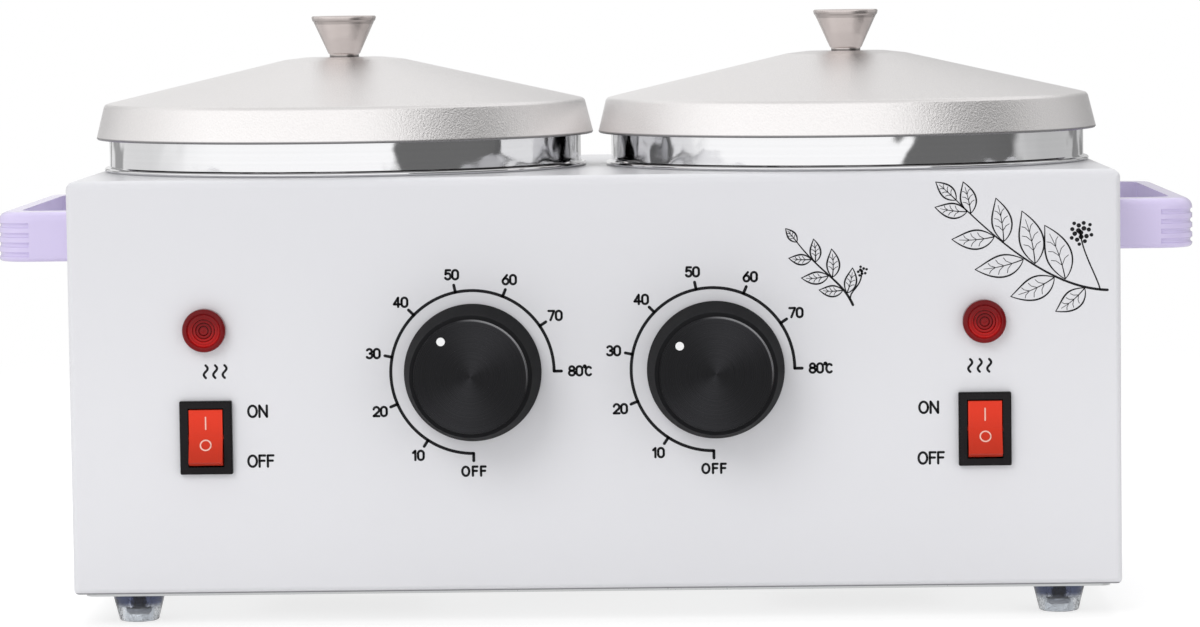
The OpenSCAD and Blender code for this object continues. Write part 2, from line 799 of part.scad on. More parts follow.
module switch_terminals() {
  tab_w = 4.8;
  tab_t = 0.8;
  color("gold") for (side = [-1, 1], row = [-1, 1]) {
    on_front(side * control_x, switch_z)
      translate([-tab_w / 2, row * tab_dy - tab_t / 2, -switch_body_d - tab_len]) difference() {
        cube([tab_w, tab_t, tab_len]);
        translate([tab_w / 2, -1, 3]) rotate([-90, 0, 0]) cylinder(r = 0.8, h = tab_t + 2);
      }
  }
}

module lid(side) {
  bend_r = 1.6;
  crown_w = 3;
  slope = lid_rise / (lid_shoulder_r - lid_flat_r);
  ledge_r = lid_shoulder_r - 4;
  color("gainsboro") at_pot(side) rotate_extrude() polygon(concat(
    [[lid_rim_r - lid_wall, rim_z], [lid_rim_r - 0.3, rim_z], [lid_rim_r, rim_z + 0.4]],
    arc(lid_shoulder_r - bend_r, shoulder_z - bend_r + 0.35, bend_r, 8, 76, 5),
    [[lid_flat_r + crown_w, lid_top_z - crown_w * slope], [lid_flat_r - crown_w, lid_top_z],
     [lid_hole_r, lid_top_z], [lid_hole_r, lid_top_z - lid_wall],
     [lid_flat_r - crown_w - 0.5, lid_top_z - lid_wall],
     [ledge_r, pot_top_z + 0.6], [ledge_r, pot_top_z], [lid_shoulder_r - lid_wall, pot_top_z]]));
}

module lid_knob(side) {
  lip_z = lid_knob_h - 1.9;
  edge_r = 0.5;
  color("rosybrown") at_pot(side) translate([0, 0, lid_top_z]) difference() {
    rotate_extrude() polygon(concat(
      [[0, 0], [lid_knob_foot_r, 0], [lid_knob_foot_r, 0.8], [lid_knob_foot_r + 0.4, 1.2],
       [lid_knob_r - 0.6, lip_z], [lid_knob_r - 0.2, lip_z + 0.5]],
      arc(lid_knob_r - edge_r, lid_knob_h - edge_r - 0.1, edge_r, -30, 120, 5),
      [[lid_knob_r - 1.6, lid_knob_h - 0.8], [0, lid_knob_h - 1.2]]));
    translate([0, 0, -1]) cylinder(r = lid_screw_r + thread_gap, h = lid_screw_len + 1.5);
  }
}

module lid_screw(side) {
  color("silver") at_pot(side) translate([0, 0, lid_top_z - lid_wall]) {
    mirror([0, 0, 1]) pan_head(3.8, 2.2);
    translate([0, 0, -eps]) cylinder(r = lid_screw_r, h = lid_wall + lid_screw_len);
  }
}

module terminal_block() {
  ways = 6;
  color("ivory") translate([-block_w / 2, block_y - block_d / 2, body_z]) difference() {
    cube([block_w, block_d, block_h]);
    for (i = [0:ways - 1]) {
      translate([block_w / 2 + (i - (ways - 1) / 2) * way_pitch, block_d / 2, block_h - 5])
        cylinder(r = 1.9, h = 6);
    }
  }
}

// Earth stud beside the block, with its nut run down
module earth_stud() {
  color("gold") translate([block_w / 2 + 18, block_y, body_z]) {
    cylinder(r = 2, h = 12);
    hexagon(4, 3.2);
  }
}

// Smooth curve through a list of points
function spline(p, steps) = concat(
  [for (i = [0:len(p) - 2], k = [0:steps - 1])
    let (a = p[max(i - 1, 0)], b = p[i], c = p[i + 1], d = p[min(i + 2, len(p) - 1)], t = k / steps)
    0.5 * (2 * b + (c - a) * t + (2 * a - 5 * b + 4 * c - d) * t * t
      + (3 * b - a - 3 * c + d) * t * t * t)],
  [p[len(p) - 1]]);

// Curve whose first and last stretch stay straight, so that a lead meets its terminal squarely
function inner(p) = [for (i = [1:len(p) - 2]) p[i]];
function route_curve(p, steps) = concat([p[0]], spline(inner(p), steps), [p[len(p) - 1]]);
function unit(v) = v / norm(v);
function heading(p, i) = unit(p[min(i + 1, len(p) - 1)] - p[max(i - 1, 0)]);
function square_to(v, t) = unit(v - (v * t) * t);

// One direction square to the path at each point, turned as little as possible on the way
function sides(p, i, last) =
  i == len(p) ? [] : let (s = square_to(last, heading(p, i))) concat([s], sides(p, i + 1, s));

// Round tube swept along a path
module tube(p, r, n = 8) {
  count = len(p);
  s = sides(p, 0, square_to([0.31, 0.52, 0.79], heading(p, 0)));
  points = [for (i = [0:count - 1], k = [0:n - 1])
    let (up = cross(heading(p, i), s[i]), a = 360 * k / n) p[i] + r * (cos(a) * s[i] + sin(a) * up)];
  skin = [for (i = [0:count - 2], k = [0:n - 1], half = [0, 1])
    let (a = i * n + k, b = i * n + (k + 1) % n) half == 0 ? [a, b + n, b] : [a, a + n, b + n]];
  start_cap = [for (k = [1:n - 2]) [0, k, k + 1]];
  end_cap = [for (k = [1:n - 2]) let (o = (count - 1) * n) [o, o + k + 1, o + k]];
  polyhedron(points, concat(skin, start_cap, end_cap));
}

// Sensing bulb clipped under the well, with the capillary that leads to the thermostat
module sensor(side) {
  end_x = pot_pitch / 2 - sensor_len / 2;
  back_z = dial_z - 8;
  rear_y = front_y + sheet_t + thermo_d;
  route = [[end_x + 1, sensor_y, sensor_z], [end_x - 3, sensor_y, sensor_z],
    [end_x - 9, sensor_y - 6, sensor_z - 6], [dial_x + 1, sensor_y - 18, sensor_z - 9],
    [dial_x, rear_y + 9, back_z - 4], [dial_x, rear_y + 3, back_z], [dial_x, rear_y, back_z]];
  color("orange") mirror([side < 0 ? 1 : 0, 0, 0]) {
    translate([end_x, sensor_y, sensor_z]) rotate([0, 90, 0]) cylinder(r = sensor_r, h = sensor_len);
    tube(route_curve(route, 4), capillary_r);
  }
}

// Internal wiring of one side, each lead with its route from end to end
module leads(side) {
  tab_y = front_y + switch_body_d + tab_len;
  block_front = block_y - block_d / 2;
  way_z = body_z + 8;
  way_x = way_pitch / 2;
  thermo_z = dial_z - thermo_h / 2;
  tag_y = front_y + 7;
  band_x = pot_pitch / 2 - well_out_r - band_t / 2 + 0.4;
  lamp_y = front_y + lamp_d;
  supply = [[way_x, block_front, way_z], [way_x, block_front - 6, way_z], [14, mid_y + 10, lead_z],
    [60, mid_y - 36, lead_z], [control_x - 6, tab_y + 20, lead_z + 4],
    [control_x, tab_y + 8, switch_z - tab_dy - 2], [control_x, tab_y + 4, switch_z - tab_dy],
    [control_x, tab_y, switch_z - tab_dy]];
  switched = [[control_x, tab_y, switch_z + tab_dy], [control_x, tab_y + 4, switch_z + tab_dy],
    [control_x - 8, tab_y + 10, switch_z], [80, tab_y + 8, lead_z + 18], [56, tab_y + 2, lead_z + 16],
    [dial_x + 8, tag_y + 1, thermo_z - 8], [dial_x + 8, tag_y, thermo_z - 4],
    [dial_x + 8, tag_y, thermo_z]];
  heater_feed = [[dial_x - 8, tag_y, thermo_z], [dial_x - 8, tag_y, thermo_z - 4],
    [dial_x - 10, tag_y + 5, thermo_z - 10], [20, mid_y - 30, lead_z + 26],
    [band_x, mid_y - 6, band_bottom_z - 12], [band_x, mid_y - 6, band_bottom_z - 5],
    [band_x, mid_y - 6, band_bottom_z]];
  heater_return = [[way_x + way_pitch, block_front, way_z], [way_x + way_pitch, block_front - 6, way_z],
    [13, mid_y + 18, lead_z + 16], [band_x, mid_y + 7, band_bottom_z - 14],
    [band_x, mid_y + 6, band_bottom_z - 5], [band_x, mid_y + 6, band_bottom_z]];
  lamp_return = [[way_x + 2 * way_pitch, block_front, way_z],
    [way_x + 2 * way_pitch, block_front - 6, way_z], [30, mid_y + 16, lead_z - 4],
    [96, mid_y - 20, lead_z - 4], [control_x + 17, lamp_y + 22, lead_z + 6],
    [control_x + 19, lamp_y + 8, switch_z + 4], [control_x + 10, lamp_y + 3.4, lamp_z - 12],
    [control_x + 2.5, lamp_y + 3, lamp_z], [control_x + 2.5, lamp_y, lamp_z]];
  color("saddlebrown") mirror([side < 0 ? 1 : 0, 0, 0]) {
    for (route = [supply, switched, heater_feed, heater_return, lamp_return]) {
      tube(route_curve(route, 3), lead_r);
    }
  }
}

housing();
base_plate();
base_screws();
feet(-1);  // front_feet
feet(1);  // rear_feet
foot_screws();
foot_nuts();
handle(-1);  // left_handle
handle(1);  // right_handle
handle_screws();
cord_gland();
gland_nut();
collar(-1);  // left_collar
collar(1);  // right_collar
well(-1);  // left_well
well(1);  // right_well
tie_rod(-1);  // left_tie_rod
tie_rod(1);  // right_tie_rod
tie_rod_nuts();
heater_band(-1);  // left_heater_band
heater_band(1);  // right_heater_band
insulation(-1);  // left_insulation
insulation(1);  // right_insulation
thermostat(-1);  // left_thermostat
thermostat(1);  // right_thermostat
thermostat_screws();
sensor(-1);  // left_sensor
sensor(1);  // right_sensor
lamp_lens(-1);  // left_lamp_lens
lamp_lens(1);  // right_lamp_lens
lamp_body(-1);  // left_lamp_body
lamp_body(1);  // right_lamp_body
lamp_bulbs();
switch_frame(-1);  // left_switch_frame
switch_frame(1);  // right_switch_frame
switch_terminals();
terminal_block();
earth_stud();
leads(-1);  // left_leads
leads(1);  // right_leads
dial_shaft(-1);  // left_dial_shaft
dial_shaft(1);  // right_dial_shaft
dial_knob(-1);  // left_dial_knob
dial_knob(1);  // right_dial_knob
dial_cap(-1);  // left_dial_cap
dial_cap(1);  // right_dial_cap
dial_pointer(-1);  // left_dial_pointer
dial_pointer(1);  // right_dial_pointer
rocker(-1);  // left_rocker
rocker(1);  // right_rocker
pot(-1);  // left_pot
pot(1);  // right_pot
lid(-1);  // left_lid
lid(1);  // right_lid
lid_knob(-1);  // left_lid_knob
lid_knob(1);  // right_lid_knob
lid_screw(-1);  // left_lid_screw
lid_screw(1);  // right_lid_screw
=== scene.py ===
import json
import bmesh
import bpy
import numpy as np
from mathutils import Matrix, Vector


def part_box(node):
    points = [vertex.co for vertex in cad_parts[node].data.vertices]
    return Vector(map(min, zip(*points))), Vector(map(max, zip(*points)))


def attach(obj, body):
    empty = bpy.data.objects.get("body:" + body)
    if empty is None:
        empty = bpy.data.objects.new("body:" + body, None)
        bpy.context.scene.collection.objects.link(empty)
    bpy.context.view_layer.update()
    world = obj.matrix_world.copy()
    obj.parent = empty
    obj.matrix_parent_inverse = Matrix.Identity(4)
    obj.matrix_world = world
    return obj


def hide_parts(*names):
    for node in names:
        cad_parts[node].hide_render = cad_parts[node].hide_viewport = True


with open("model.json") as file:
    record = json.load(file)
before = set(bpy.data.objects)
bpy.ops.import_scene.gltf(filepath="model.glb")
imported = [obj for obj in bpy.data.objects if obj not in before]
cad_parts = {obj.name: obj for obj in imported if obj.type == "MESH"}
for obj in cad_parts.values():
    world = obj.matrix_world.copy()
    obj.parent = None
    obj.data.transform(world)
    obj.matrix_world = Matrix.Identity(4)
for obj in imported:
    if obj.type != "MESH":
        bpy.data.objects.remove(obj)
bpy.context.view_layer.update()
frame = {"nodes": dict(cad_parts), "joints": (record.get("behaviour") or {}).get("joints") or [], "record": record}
nodes = frame["nodes"]
joints = {joint["name"]: joint for joint in frame["joints"]}
slotOf = {part["node"]: part["material_slot"] for part in frame["record"]["subparts"]}
sides = ("left", "right")
print("frame loaded:", len(nodes), "nodes")


def middle(node):
    # halfway between the lowest and the highest corner of a node's box
    low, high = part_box(node)
    return (low + high) / 2


# where the printing, the marks and the turned rings go, in metres
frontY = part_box("housing")[0].y
potCentres = {side: middle(side + "_pot") for side in sides}
dialCentres = {side: Vector(joints[side + "_dial_turn"]["pos_m"]) for side in sides}
rockerPivots = {side: Vector(joints[side + "_switch_rock"]["pos_m"]) for side in sides}
lampCentres = {side: middle(side + "_lamp_lens") for side in sides}
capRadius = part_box("left_dial_cap")[1].x - dialCentres["left"].x

# the view of the photograph, in metres, radians and millimetres of lens
cameraLook = {"place": (0.02293, -1.36337, 0.18246), "yaw": 0.01637, "pitch": -0.07271, "roll": 0.01324, "lens": 136.14}


def placeCamera(look):
    # the view direction from yaw and pitch, then both side vectors turned by the roll
    sinYaw, cosYaw = np.sin(look["yaw"]), np.cos(look["yaw"])
    sinPitch, cosPitch = np.sin(look["pitch"]), np.cos(look["pitch"])
    right = Vector((cosYaw, sinYaw, 0))
    ahead = Vector((-sinYaw * cosPitch, cosYaw * cosPitch, sinPitch))
    up = right.cross(ahead)
    sinRoll, cosRoll = np.sin(look["roll"]), np.cos(look["roll"])
    turned = Matrix((cosRoll * right - sinRoll * up, sinRoll * right + cosRoll * up, -ahead)).transposed()
    data = bpy.data.cameras.new("camera")
    data.lens = look["lens"]
    camera = bpy.data.objects.new("camera", data)
    camera.matrix_world = Matrix.Translation(look["place"]) @ turned.to_4x4()
    bpy.context.scene.collection.objects.link(camera)
    bpy.context.scene.camera = camera


placeCamera(cameraLook)


class Value:
    # a node's output that can be reckoned with like a number
    def __init__(self, shading, socket):
        self.shading, self.socket = shading, socket

    def maths(self, operation, *others):
        return self.shading.node("Math", {"operation": operation}, self, *others)

    def __add__(self, other):
        return self.maths("ADD", other)

    def __sub__(self, other):
        return self.maths("SUBTRACT", other)

    def __rsub__(self, other):
        return self.shading.node("Math", {"operation": "SUBTRACT"}, other, self)

    def __mul__(self, other):
        return self.maths("MULTIPLY", other)

    __radd__, __rmul__ = __add__, __mul__

    def rising(self, low, high):
        # 0 below low, 1 above high, with a smooth step between
        return self.shading.node("MapRange", {"interpolation_type": "SMOOTHSTEP"}, self, low, high)


class Shading:
    # the node tree of a material or of the world, built up one node at a time
    def __init__(self, owner):
        owner.use_nodes = True
        self.owner, self.tree = owner, owner.node_tree
        self.tree.nodes.clear()

    def node(self, kind, settings=None, *values, out=0, **named):
        # sockets are fed by their order, or by their names in camelCase
        made = self.tree.nodes.new("ShaderNode" + kind)
        for key, setting in (settings or {}).items():
            setattr(made, key, setting)
        for place, value in enumerate(values):
            self.feed(made.inputs[place], value)
        for name, value in named.items():
            self.feed(next(s for s in made.inputs if s.name.replace(" ", "").lower() == name.lower()), value)
        return Value(self, made.outputs[out]) if made.outputs else None

    def feed(self, socket, value):
        # links a value of the same tree, or sets a constant, with full alpha for a colour
        if isinstance(value, Value):
            self.tree.links.new(value.socket, socket)
        elif value is not None:
            socket.default_value = (*value, 1) if socket.type == "RGBA" and len(value) == 3 else value

    def place(self, centre=(0, 0, 0), scale=(1, 1, 1)):
        # Object coordinates in metres, counted from a centre on the piece
        moved = [-c * s for c, s in zip(centre, scale)]
        return self.node("Mapping", None, self.node("TexCoord", out="Object"), moved, (0, 0, 0), scale)

    def parts(self, vector):
        split = self.node("SeparateXYZ", None, vector).socket.node
        return [Value(self, output) for output in split.outputs]

    def noise(self, vector, scale, detail=2.0, roughness=0.5):
        return self.node("TexNoise", None, vector, 0, scale, detail, roughness)

    def lineNoise(self, distance, scale, detail):
        # noise along one measure, for rings
        return self.node("TexNoise", {"noise_dimensions": "1D"}, None, distance, scale, detail)

    def reach(self, vector):
        # the length of a vector
        return self.node("VectorMath", {"operation": "LENGTH"}, vector, out=1)

    def tint(self, factor, first, second):
        # a colour between two, by a factor from 0 to 1
        made = self.tree.nodes.new("ShaderNodeMix")
        made.data_type = "RGBA"
        for socket, value in ((made.inputs[0], factor), (made.inputs[6], first), (made.inputs[7], second)):
            self.feed(socket, value)
        return Value(self, made.outputs[2])

    def bump(self, height, strength, distance, under=None):
        return self.node("Bump", None, strength, distance, height=height, normal=under)

    def glow(self, strength):
        return self.node("Emission", None, (1, 1, 1), strength)

    def mixed(self, factor, first, second):
        # a shader between two, by a factor from 0 to 1
        return self.node("MixShader", None, factor, first, second)

    def rays(self):
        # whether the camera itself looks, and whether gloss or clear plastic does
        path = self.node("LightPath").socket.node.outputs
        seen, gloss, clear = (Value(self, path["Is %s Ray" % kind]) for kind in ("Camera", "Glossy", "Transmission"))
        return seen, gloss.maths("MAXIMUM", clear)

    def surface(self, **sockets):
        principled = self.node("BsdfPrincipled", None, **sockets)
        self.node("OutputMaterial", None, principled)
        return self.owner


def finish(name):
    return Shading(bpy.data.materials.new(name))


print("camera and shader maths ready")

# studio: a white floor without end, a big soft lamp on the left, a weaker one on the right and one overhead
studioLook = {
    "ambient": 0.58,
    "floorReach": 24.0, "floorColour": (0.94, 0.94, 0.94), "seenFloor": (0.42, 0.42, 0.42), "floorGlow": 0.72,
    "floorFade": (0.35, 0.9), "mirrorFade": (0.3, 0.8), "nearRoom": 0.75,
    "lampAim": (0, 0, 0.08),
    "lamps": {
        "keyLamp": {"place": (-1.0, -1.7, 1.5), "size": 1.5, "watts": 18},
        "fillLamp": {"place": (1.5, -1.5, 0.7), "size": 1.2, "watts": 3.0},
        "topLamp": {"place": (0.0, 0.5, 1.9), "size": 1.6, "watts": 14},
    },
}
# the room that polished metal mirrors: turns in radians, rightwards from the camera's side, and heights from 0 to 1
roomLook = {
    "gain": 1.25, "darkFrom": 0.38, "darkTo": 1.44, "darkDepth": 0.86, "lean": 0.7, "nearEdge": 0.1, "farEdge": 0.12,
    "beyond": 0.7, "behind": 0.7, "behindFrom": (1.1, 1.9),
    "streak": 0.55, "streaks": [((2.35, 2.42), (2.5, 2.6)), ((2.68, 2.72), (2.8, 2.84))],
    "high": (0.35, 0.55), "overhead": 0.8, "overheadFrom": (0.6, 0.95),
}


def surroundings(shading, direction, look):
    # brightness by direction. Low down it is bright in front, dark right of the camera, dimmer past that and behind,
    # where two streaks are darker still. Higher up it is even light, dimmer straight overhead.
    x, y, z = shading.parts(direction)
    turn = x.maths("ARCTAN2", 0 - y)
    swing = turn.maths("ABSOLUTE")
    start = z.maths("MAXIMUM", 0) * look["lean"] + look["darkFrom"]
    past = turn.rising(look["darkTo"], look["darkTo"] + look["farEdge"])
    dark = turn.rising(start, start + look["nearEdge"]) * (1 - past)
    behind = swing.rising(*look["behindFrom"])
    streak = sum(swing.rising(*rise) * (1 - swing.rising(*fall)) for rise, fall in look["streaks"])
    low = (1 - look["darkDepth"] * dark) * (1 - (1 - look["beyond"]) * past) * look["gain"]
    low = low * (1 - (1 - look["behind"]) * behind) * (1 - look["streak"] * streak)
    above = z.rising(*look["high"])
    return low * (1 - above) + above * (1 - (1 - look["overhead"]) * z.rising(*look["overheadFrom"]))


def buildWorld(look, room):
    # white for the camera, the surroundings for gloss and clear plastic, even ambient light for the rest
    world = bpy.data.worlds.new("studio")
    bpy.context.scene.world = world
    sky = Shading(world)
    seen, mirrored = sky.rays()
    found = surroundings(sky, sky.node("TexCoord", out="Generated"), room)
    strength = seen + (1 - seen) * (mirrored * found + (1 - mirrored) * look["ambient"])
    sky.node("OutputWorld", None, sky.node("Background", None, (1, 1, 1), strength))


def buildFloor(look, room):
    # takes shadows near the object and fades to plain white further out. Gloss finds the surroundings in it, except
    # close to the object, where it is even, and a camera below sees through it.
    reach = look["floorReach"]
    corners = [(-reach, -reach, 0), (reach, -reach, 0), (reach, reach, 0), (-reach, reach, 0)]
    mesh = bpy.data.meshes.new("floor")
    mesh.from_pydata(corners, [], [(0, 1, 2, 3)])
    floor = bpy.data.objects.new("floor", mesh)
    bpy.context.scene.collection.objects.link(floor)

    paint = finish("floorPaint")
    seen, mirrored = paint.rays()
    spot = paint.place()
    out = paint.reach(spot)
    shaded = paint.node("AddShader", None, paint.node("BsdfDiffuse", None, look["seenFloor"]),
                        paint.glow(look["floorGlow"]))
    shown = paint.mixed(out.rising(*look["floorFade"]), shaded, paint.glow(1.0))
    far = out.rising(*look["mirrorFade"])
    found = paint.glow(far * surroundings(paint, spot, room) + (1 - far) * look["nearRoom"])
    lit = paint.mixed(mirrored, paint.node("BsdfDiffuse", None, look["floorColour"]), found)
    below = Value(paint, paint.node("NewGeometry").socket.node.outputs["Backfacing"]) * seen
    paint.node("OutputMaterial", None,
               paint.mixed(below, paint.mixed(seen, lit, shown), paint.node("BsdfTransparent")))
    mesh.materials.append(paint.owner)


def hangLamps(lamps, aim):
    # round soft lamps that face one point; polished metal finds the surroundings in their stead
    for name, lamp in lamps.items():
        data = bpy.data.lights.new(name, "AREA")
        data.shape, data.size, data.energy = "DISK", lamp["size"], lamp["watts"]
        light = bpy.data.objects.new(name, data)
        place = Vector(lamp["place"])
        facing = (place - Vector(aim)).to_track_quat("Z", "Y").to_matrix().to_4x4()
        light.matrix_world = Matrix.Translation(place) @ facing
        light.visible_glossy = False
        bpy.context.scene.collection.objects.link(light)


buildWorld(studioLook, roomLook)
buildFloor(studioLook, roomLook)
hangLamps(studioLook["lamps"], studioLook["lampAim"])
bpy.context.scene.view_settings.view_transform = "Standard"
print("studio ready")

# edge: how far a dark hem or band of painted shade takes to fade in, in metres; shadow: the colour of painted shade on
# a hem or seam
edge, shadow = 0.0004, (0.05, 0.05, 0.055)


def powderCoat(look):
    # white coat with the faint ripple of baked powder, with painted shade: greyer towards the top and along the lowest
    # edge of the sheet
    coat = finish("whiteEnamel")
    spot = coat.place()
    ripple = coat.noise(spot, look["ripples"], detail=0, roughness=0.4)
    cloud = coat.noise(spot, look["clouds"])
    height = coat.parts(spot)[2]
    # painted shade: the coat turns greyer towards the top
    colour = coat.tint(height.rising(*look["rise"]), coat.tint(cloud, look["colour"], look["shade"]), look["topColour"])
    # painted shade: dark along the lowest edge of the housing
    colour = coat.tint(height.rising(look["hem"], look["hem"] + edge), look["hemColour"], colour)
    return coat.surface(baseColor=colour, roughness=cloud * look["cloudRough"] + look["roughness"],
                        normal=coat.bump(ripple, look["bump"], look["depth"]),
                        coatWeight=look["coat"], coatRoughness=look["coatRough"])


coatLook = {
    "colour": (0.80, 0.80, 0.83), "shade": (0.775, 0.775, 0.805), "clouds": 14, "cloudRough": 0.08, "roughness": 0.26,
    "ripples": 380, "bump": 0.03, "depth": 0.0002, "coat": 0.3, "coatRough": 0.15,
    # painted shade: a greyer top
    "rise": (0.02, 0.13), "topColour": (0.725, 0.725, 0.755),
    # painted shade along the housing's lowest edge
    "hem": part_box("housing")[0].z + 0.0003, "hemColour": (0.16, 0.16, 0.18),
}


def plainMetal(name, look):
    # metal with a fine grain, brushed along one axis where its scale is uneven, with painted shade in darker bands
    # between two heights
    metal = finish(name)
    grain = metal.noise(metal.place(scale=look.get("stretch", (1, 1, 1))), look["grain"], detail=4, roughness=0.6)
    cloud = metal.noise(metal.place(), 60)
    colour = metal.tint(cloud * 0.6 + grain * 0.4, look["colour"], look["shade"])
    # painted shade: dark bands between two heights
    for low, high, depth in look.get("bands", []):
        height = metal.parts(metal.place())[2]
        shadeBand = height.rising(low - edge / 2, low) * (1 - height.rising(high, high + edge))
        colour = metal.tint(shadeBand * depth, colour, look["bandColour"])
    return metal.surface(baseColor=colour, metallic=1.0, roughness=grain * look["rough"][1] + look["rough"][0],
                         normal=metal.bump(grain, look["bump"], 0.00005))


lidHem, lidTop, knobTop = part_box("left_lid")[0].z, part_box("left_lid")[1].z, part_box("left_lid_knob")[1].z
metalLooks = {
    "zinc_steel": {
        "colour": (0.62, 0.64, 0.67), "shade": (0.74, 0.74, 0.72), "grain": 900, "rough": (0.22, 0.16), "bump": 0.15},
    "dark_steel": {
        "colour": (0.20, 0.205, 0.23), "shade": (0.28, 0.285, 0.31), "grain": 1500, "rough": (0.3, 0.2), "bump": 0.2},
    "heater_steel": {
        "colour": (0.58, 0.50, 0.38), "shade": (0.50, 0.45, 0.44), "grain": 700, "rough": (0.3, 0.2), "bump": 0.2,
        "stretch": (1, 1, 8)},
    "copper": {
        "colour": (0.72, 0.40, 0.27), "shade": (0.60, 0.31, 0.22), "grain": 1200, "rough": (0.2, 0.2), "bump": 0.15},
    "brass": {
        "colour": (0.80, 0.60, 0.28), "shade": (0.70, 0.52, 0.26), "grain": 1200, "rough": (0.18, 0.2), "bump": 0.15},
    "satin_nickel": {
        "colour": (0.74, 0.68, 0.66), "shade": (0.62, 0.565, 0.545), "grain": 500, "rough": (0.16, 0.14), "bump": 0.12,
        "stretch": (0.3, 0.3, 6), "bandColour": (0.05, 0.045, 0.045),
        # painted shade: a dark ring where the knob stands on the lid and one under the knob's lip
        "bands": [(lidTop, lidTop + 0.0004, 0.75), (knobTop - 0.0024, knobTop - 0.001, 0.3)]},
}


def turnedMetal(name, centre, look):
    # rings left by the spinning tool, as noise along the distance from the axis plus the height, with a fine grain,
    # shallow dents and a dark hem of painted shade
    metal = finish(name)
    spot = metal.place(centre)
    across = metal.reach(metal.place(centre, (1, 1, 0)))
    rings = metal.lineNoise(across + metal.parts(spot)[2], look["rings"], 3)
    grain = metal.noise(spot, look["grain"], detail=3, roughness=0.6)
    colour = metal.tint(rings * look["ringShare"] + grain * (1 - look["ringShare"]), look["colour"], look["shade"])
    # painted shade along the lowest edge
    if "hem" in look:
        hem = metal.parts(metal.place())[2].rising(look["hem"], look["hem"] + edge)
        colour = metal.tint(hem * (1 - look["hemTone"]) + look["hemTone"], shadow, colour)
    dents = metal.bump(metal.noise(spot, look.get("waves", 40), detail=1), look.get("dents", 0.0), 0.001)
    skin = metal.bump(grain, look["grainBump"], 0.0001, dents)
    return metal.surface(baseColor=colour, metallic=1.0, roughness=rings * look["rough"][1] + look["rough"][0],
                         normal=metal.bump(rings, look["bump"], 0.00004, skin))


turnedLooks = {
    "polished_steel": {
        "colour": (0.79, 0.79, 0.80), "shade": (0.70, 0.70, 0.71), "rings": 700, "ringShare": 0.5, "bump": 0.06,
        "rough": (0.04, 0.06), "grain": 2600, "grainBump": 0.04, "waves": 85, "dents": 0.7},
    "spun_aluminium": {
        "colour": (0.78, 0.78, 0.79), "shade": (0.66, 0.66, 0.67), "rings": 1500, "ringShare": 0.5, "bump": 0.35,
        "rough": (0.24, 0.16), "grain": 2000, "grainBump": 0.04},
    "blasted_aluminium": {
        "colour": (0.94, 0.915, 0.91), "shade": (0.81, 0.79, 0.785), "rings": 120, "ringShare": 0.0, "bump": 0.0,
        # painted shade along the lid's lowest edge
        "rough": (0.29, 0.02), "grain": 1900, "grainBump": 1.0, "hem": lidHem + 0.0005, "hemTone": 0.28},
}


def mouldedPlastic(name, look):
    # moulded plastic with the fine skin of its mould, and painted light in another colour low down: darker on the red
    # rocker, paler on the clear feet
    plastic = finish(name)
    spot = plastic.place()
    skin = plastic.noise(spot, look.get("grain", 2600), detail=3, roughness=0.6)
    colour = plastic.tint(plastic.noise(spot, 45), look["colour"], look["shade"])
    # painted light low down: painted shade on the rocker, painted brightness on the clear feet
    if "fade" in look:
        low, high, lowPaintedColour = look["fade"]
        colour = plastic.tint(plastic.parts(spot)[2].rising(low, high), lowPaintedColour, colour)
    return plastic.surface(baseColor=colour, roughness=skin * 0.12 + look["roughness"],
                           normal=plastic.bump(skin, look.get("bump", 0.15), look.get("depth", 0.00006)),
                           coatWeight=look.get("coat", 0.0), coatRoughness=0.08,
                           specularIorLevel=look.get("gloss", 0.5),
                           transmissionWeight=look.get("clear", 0.0), ior=1.46)


plasticLooks = {
    "clear_plastic": {
        "colour": (0.07, 0.085, 0.17), "shade": (0.11, 0.13, 0.23), "roughness": 0.02, "grain": 420, "bump": 0.8,
        # the clear feet: paler low down, painted light
        "depth": 0.0004, "clear": 0.97, "fade": (0.0035, 0.0058, (0.90, 0.93, 0.97))},
    "lilac_plastic": {
        "colour": (0.69, 0.615, 0.87), "shade": (0.66, 0.585, 0.85), "roughness": 0.28, "bump": 0.12, "coat": 0.7},
    "black_nylon": {
        "colour": (0.030, 0.030, 0.033), "shade": (0.040, 0.040, 0.044), "roughness": 0.42, "bump": 0.3},
    "thermostat_plastic": {
        "colour": (0.075, 0.050, 0.040), "shade": (0.055, 0.035, 0.028), "roughness": 0.38, "bump": 0.3},
    "bulb_glass": {
        "colour": (0.95, 0.62, 0.38), "shade": (0.9, 0.5, 0.3), "roughness": 0.03, "bump": 0.0, "clear": 0.85},
    "black_gloss": {
        "colour": (0.008, 0.007, 0.008), "shade": (0.012, 0.010, 0.011), "roughness": 0.2, "bump": 0.12, "gloss": 0.16},
    "ivory_plastic": {
        "colour": (0.80, 0.74, 0.58), "shade": (0.75, 0.68, 0.52), "roughness": 0.36, "bump": 0.2},
    "black_satin": {
        "colour": (0.010, 0.010, 0.011), "shade": (0.014, 0.014, 0.015), "roughness": 0.4, "bump": 0.12,
        "gloss": 0.012},
    "white_mark": {
        "colour": (0.90, 0.90, 0.90), "shade": (0.84, 0.84, 0.85), "roughness": 0.3, "bump": 0.05},
    "pale_mark": {
        "colour": (0.88, 0.55, 0.47), "shade": (0.84, 0.50, 0.42), "roughness": 0.3, "bump": 0.05},
    "red_gloss": {
        "colour": (0.80, 0.055, 0.026), "shade": (0.74, 0.042, 0.020), "roughness": 0.24, "bump": 0.1, "gloss": 0.12,
        # the rocker: darker low down, painted shade
        "fade": (0.0455, 0.0615, (0.50, 0.034, 0.016))},
}


